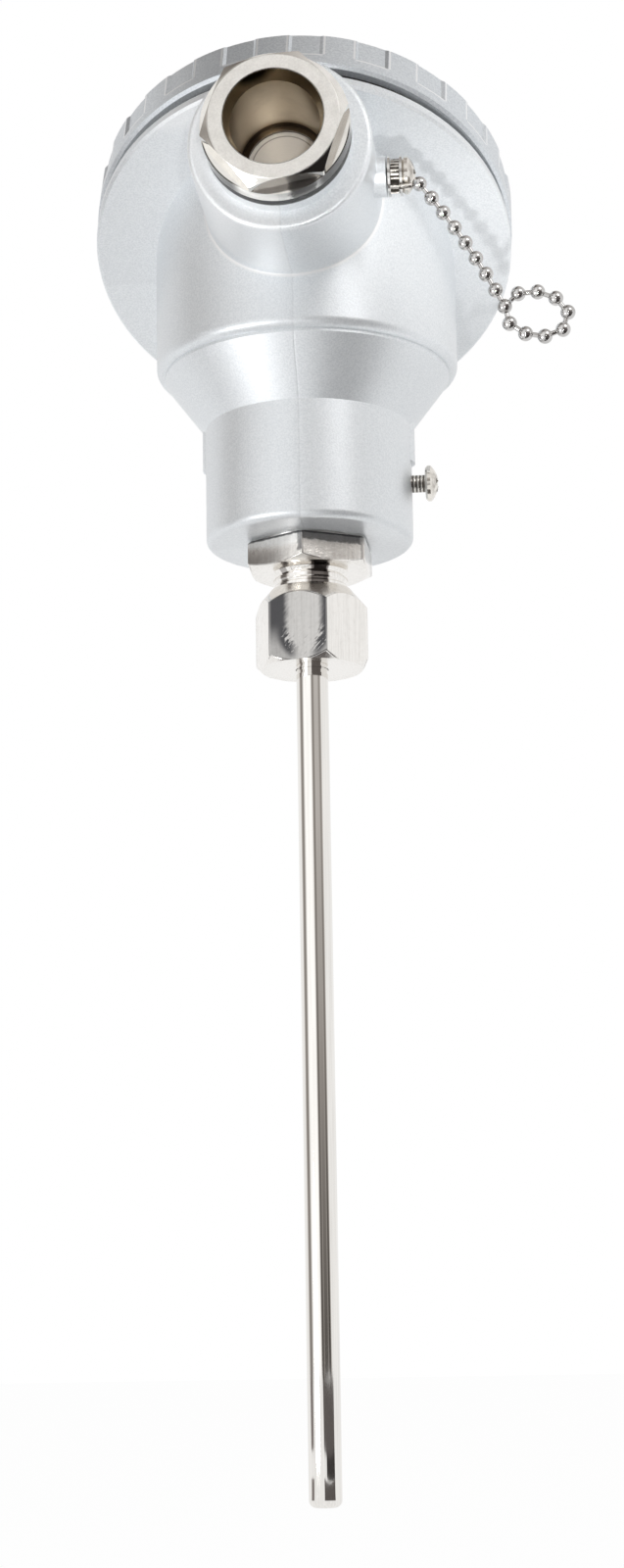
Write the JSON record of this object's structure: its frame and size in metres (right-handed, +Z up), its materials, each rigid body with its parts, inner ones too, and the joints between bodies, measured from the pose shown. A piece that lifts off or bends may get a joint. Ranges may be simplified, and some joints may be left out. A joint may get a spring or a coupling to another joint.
{
  "type": "resistance thermometer with connection head",
  "caption": "Metal-sheathed temperature probe with a compression fitting, a slanted screw-cap connection head, a cable gland and a bead chain on the side of the cable entry.",
  "frame": {"origin": "on the sheath's axis, at the compression nut's lower face, where the sheath leaves the nut", "axes": "+Z up along the sheath towards the head, -Y out of the cable entry, +X towards the side with the chain and the lock screw"},
  "size_m": [0.0911, 0.0981, 0.266],
  "materials": {
    "housing": "satin silver lacquer over a die casting",
    "cap": "satin silver lacquer over a die casting",
    "nickel": "bright nickel plating",
    "sheath": "smooth drawn stainless steel",
    "rubber": "black rubber",
    "plated": "zinc plating",
    "ceramic": "glazed ceramic",
    "brass": "machined brass",
    "wire_red": "insulated lead wire",
    "wire_white": "insulated lead wire",
    "resin": "cast resin",
    "powder": "packed oxide powder",
    "element": "ceramic-bodied element"
  },
  "bodies": {
    "head": {"head_housing": "housing", "chain_screw": "nickel", "chain_inner_washer": "plated", "chain_outer_washer": "plated", "lock_screw": "nickel", "fitting_body": "nickel", "probe_sheath": "sheath", "oxide_fill": "powder", "rtd_element": "element", "end_seal": "resin", "lead_wire_1": "wire_red", "lead_wire_2": "wire_white", "lead_wire_3": "wire_white", "terminal_block": "ceramic", "terminal_1": "brass", "terminal_2": "brass", "terminal_3": "brass", "terminal_screws": "plated", "block_screws": "plated", "blanking_disc": "plated", "gland_seal": "rubber", "gland_inner_washer": "plated"},
    "gasket": {"cap_gasket": "rubber"},
    "cap": {"screw_cap": "cap"},
    "washer": {"gland_washer": "plated"},
    "gland": {"gland_nut": "nickel"},
    "ferrule": {"ferrule": "brass"},
    "nut": {"compression_nut": "nickel"},
    "strand": {"chain_strand": "nickel", "chain_end_tag": "nickel"},
    "loop": {"chain_loop": "nickel"}
  },
  "joints": [
    {"name": "cap_turn", "type": "hinge", "parent": "gasket", "child": "cap", "pos_m": [0, -0.0039, 0.0808], "axis": [0, 0.5, 0.866], "range_deg": [0, 1080]},
    {"name": "cap_lift", "type": "slide", "parent": "head", "child": "gasket", "axis": [0, 0.5, 0.866], "range_m": [0, 0.006]},
    {"name": "gland_nut_turn", "type": "hinge", "parent": "washer", "child": "gland", "pos_m": [0, -0.0495, 0.0838], "axis": [0, -1, 0], "range_deg": [0, 1800]},
    {"name": "gland_nut_advance", "type": "slide", "parent": "head", "child": "washer", "axis": [0, -1, 0], "range_m": [0, 0.0075]},
    {"name": "compression_nut_turn", "type": "hinge", "parent": "ferrule", "child": "nut", "pos_m": [0, 0, 0.005], "axis": [0, 0, -1], "range_deg": [0, 1800]},
    {"name": "compression_nut_advance", "type": "slide", "parent": "head", "child": "ferrule", "axis": [0, 0, -1], "range_m": [0, 0.0075]},
    {"name": "chain_swing", "type": "hinge", "parent": "head", "child": "strand", "pos_m": [0.01975, -0.036, 0.0822], "axis": [1, 0, 0], "range_deg": [-100, 60]},
    {"name": "loop_swing", "type": "hinge", "parent": "strand", "child": "loop", "pos_m": [0.0386, -0.0353, 0.0566], "axis": [0, 1, 0], "range_deg": [-20, 90]}
  ],
  "couplings": [
    {"joint": "cap_lift", "follows": "cap_turn", "m_per_rad": 0.00031831},
    {"joint": "gland_nut_advance", "follows": "gland_nut_turn", "m_per_rad": 0.00023873},
    {"joint": "compression_nut_advance", "follows": "compression_nut_turn", "m_per_rad": 0.00023873}
  ]
}
